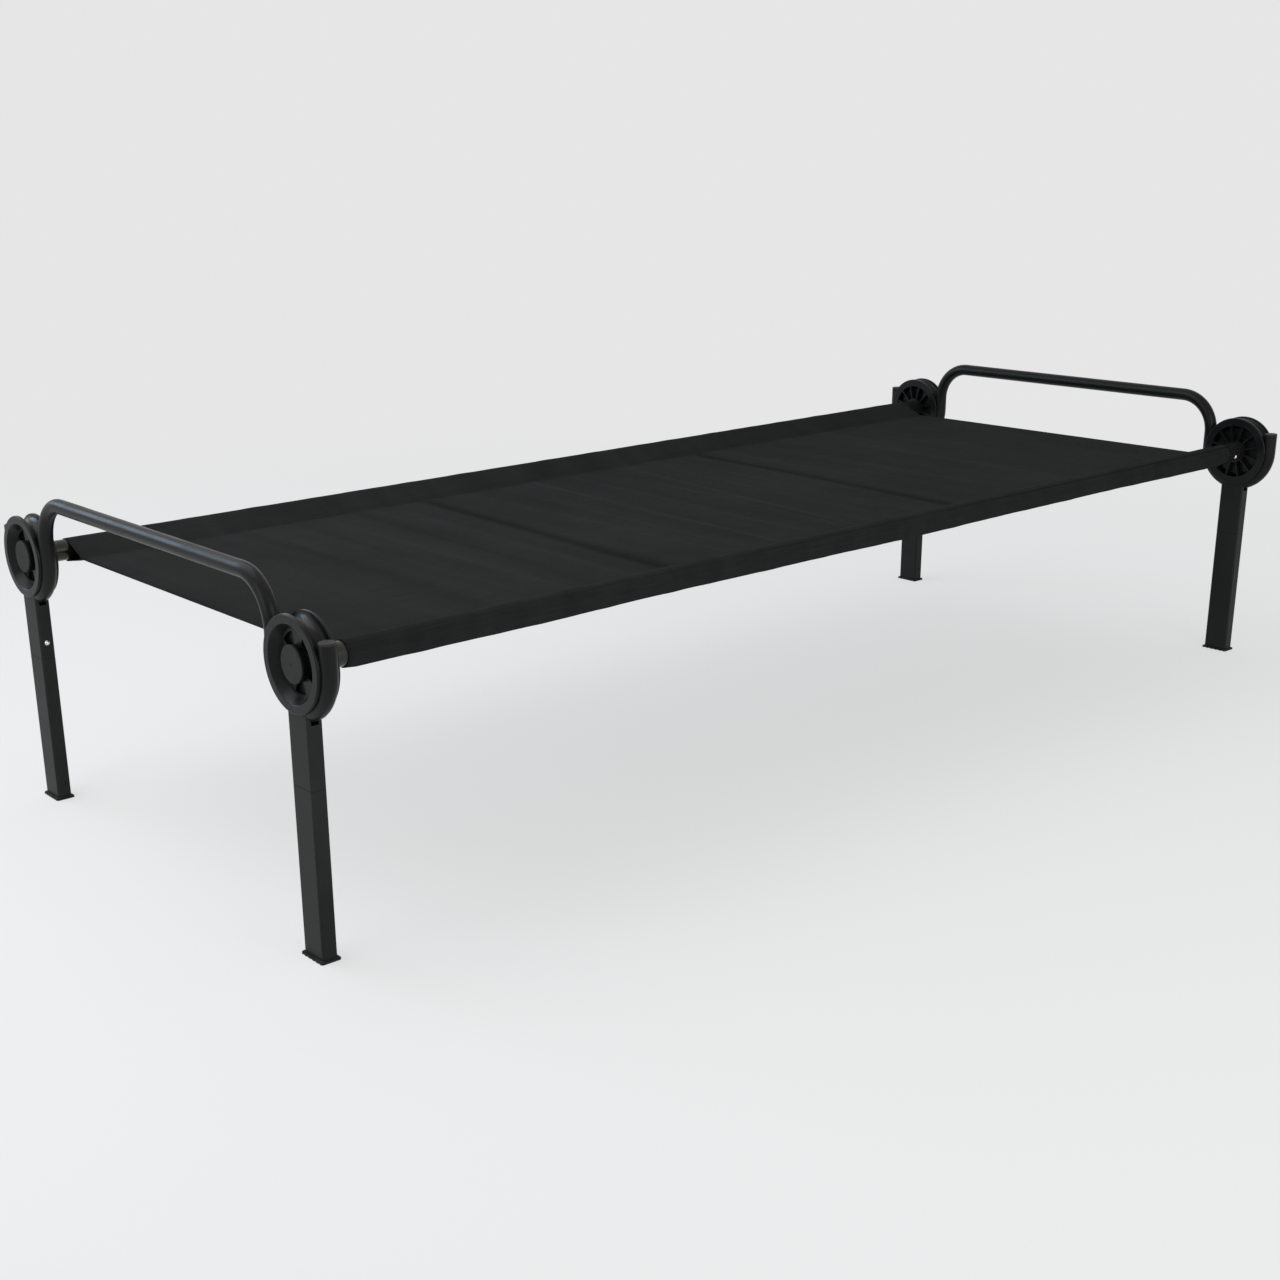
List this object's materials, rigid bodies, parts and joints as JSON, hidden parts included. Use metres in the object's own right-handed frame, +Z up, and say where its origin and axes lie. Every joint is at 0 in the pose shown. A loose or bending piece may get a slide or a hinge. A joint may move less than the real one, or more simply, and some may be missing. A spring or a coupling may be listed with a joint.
{
  "type": "raised dog bed",
  "caption": "Raised pet bed: a taut fabric deck sleeved on side rails, held by grooved discs seated in bent-tube end frames on plug-in legs with sprung snap buttons.",
  "frame": {"origin": "on the floor under the middle of the deck", "axes": "+X along the bed towards its right end, +Y across it towards its back side, +Z up"},
  "size_m": [2.082, 0.915, 0.489],
  "materials": {
    "frame_paint": "satin powder coat, near black",
    "rail_paint": "thin dark grey coat over steel, semi-gloss",
    "disc_plastic": "moulded, satin black",
    "cap_plastic": "moulded, satin black",
    "foot_plastic": "moulded, matt black",
    "button_metal": "bright nickel plate",
    "spring_steel": "bare spring strip",
    "joiner_steel": "zinc-plated tube",
    "deck_fabric": "tight plain weave, coated, near black"
  },
  "bodies": {
    "bed_frame": {"left_end_frame": "frame_paint", "right_end_frame": "frame_paint", "front_rail_joiner": "joiner_steel", "back_rail_joiner": "joiner_steel", "fabric_deck": "deck_fabric", "front_left_disc": "disc_plastic", "front_left_disc_cap": "cap_plastic", "front_left_hook_plug": "cap_plastic", "front_left_leg_socket": "frame_paint", "front_left_lower_leg": "frame_paint", "front_left_foot": "foot_plastic", "front_left_leg_spring": "spring_steel", "front_left_rail": "rail_paint", "front_left_rail_spring": "spring_steel", "front_right_disc": "disc_plastic", "front_right_disc_cap": "cap_plastic", "front_right_hook_plug": "cap_plastic", "front_right_leg_socket": "frame_paint", "front_right_lower_leg": "frame_paint", "front_right_foot": "foot_plastic", "front_right_leg_spring": "spring_steel", "front_right_rail": "rail_paint", "front_right_rail_spring": "spring_steel", "back_left_disc": "disc_plastic", "back_left_disc_cap": "cap_plastic", "back_left_hook_plug": "cap_plastic", "back_left_leg_socket": "frame_paint", "back_left_lower_leg": "frame_paint", "back_left_foot": "foot_plastic", "back_left_leg_spring": "spring_steel", "back_left_rail": "rail_paint", "back_left_rail_spring": "spring_steel", "back_right_disc": "disc_plastic", "back_right_disc_cap": "cap_plastic", "back_right_hook_plug": "cap_plastic", "back_right_leg_socket": "frame_paint", "back_right_lower_leg": "frame_paint", "back_right_foot": "foot_plastic", "back_right_leg_spring": "spring_steel", "back_right_rail": "rail_paint", "back_right_rail_spring": "spring_steel"},
    "front_left_leg_button": {"front_left_leg_button": "button_metal"},
    "front_left_rail_button": {"front_left_rail_button": "button_metal"},
    "front_right_leg_button": {"front_right_leg_button": "button_metal"},
    "front_right_rail_button": {"front_right_rail_button": "button_metal"},
    "back_left_leg_button": {"back_left_leg_button": "button_metal"},
    "back_left_rail_button": {"back_left_rail_button": "button_metal"},
    "back_right_leg_button": {"back_right_leg_button": "button_metal"},
    "back_right_rail_button": {"back_right_rail_button": "button_metal"}
  },
  "joints": [
    {"name": "front_left_leg_button_press", "type": "slide", "parent": "bed_frame", "child": "front_left_leg_button", "axis": [0, -1, 0], "range_m": [0, 0.0042], "stiffness_N_per_m": 1200, "springref_m": -0.002, "deforming": ["front_left_leg_spring"]},
    {"name": "front_left_rail_button_press", "type": "slide", "parent": "bed_frame", "child": "front_left_rail_button", "axis": [0, 0.9063, 0.4226], "range_m": [0, 0.0032], "stiffness_N_per_m": 1200, "springref_m": -0.002, "deforming": ["front_left_rail_spring"]},
    {"name": "front_right_leg_button_press", "type": "slide", "parent": "bed_frame", "child": "front_right_leg_button", "axis": [0, -1, 0], "range_m": [0, 0.0042], "stiffness_N_per_m": 1200, "springref_m": -0.002, "deforming": ["front_right_leg_spring"]},
    {"name": "front_right_rail_button_press", "type": "slide", "parent": "bed_frame", "child": "front_right_rail_button", "axis": [0, 0.9063, 0.4226], "range_m": [0, 0.0032], "stiffness_N_per_m": 1200, "springref_m": -0.002, "deforming": ["front_right_rail_spring"]},
    {"name": "back_left_leg_button_press", "type": "slide", "parent": "bed_frame", "child": "back_left_leg_button", "axis": [0, 1, 0], "range_m": [0, 0.0042], "stiffness_N_per_m": 1200, "springref_m": -0.002, "deforming": ["back_left_leg_spring"]},
    {"name": "back_left_rail_button_press", "type": "slide", "parent": "bed_frame", "child": "back_left_rail_button", "axis": [0, -0.9063, 0.4226], "range_m": [0, 0.0032], "stiffness_N_per_m": 1200, "springref_m": -0.002, "deforming": ["back_left_rail_spring"]},
    {"name": "back_right_leg_button_press", "type": "slide", "parent": "bed_frame", "child": "back_right_leg_button", "axis": [0, 1, 0], "range_m": [0, 0.0042], "stiffness_N_per_m": 1200, "springref_m": -0.002, "deforming": ["back_right_leg_spring"]},
    {"name": "back_right_rail_button_press", "type": "slide", "parent": "bed_frame", "child": "back_right_rail_button", "axis": [0, -0.9063, 0.4226], "range_m": [0, 0.0032], "stiffness_N_per_m": 1200, "springref_m": -0.002, "deforming": ["back_right_rail_spring"]}
  ]
}
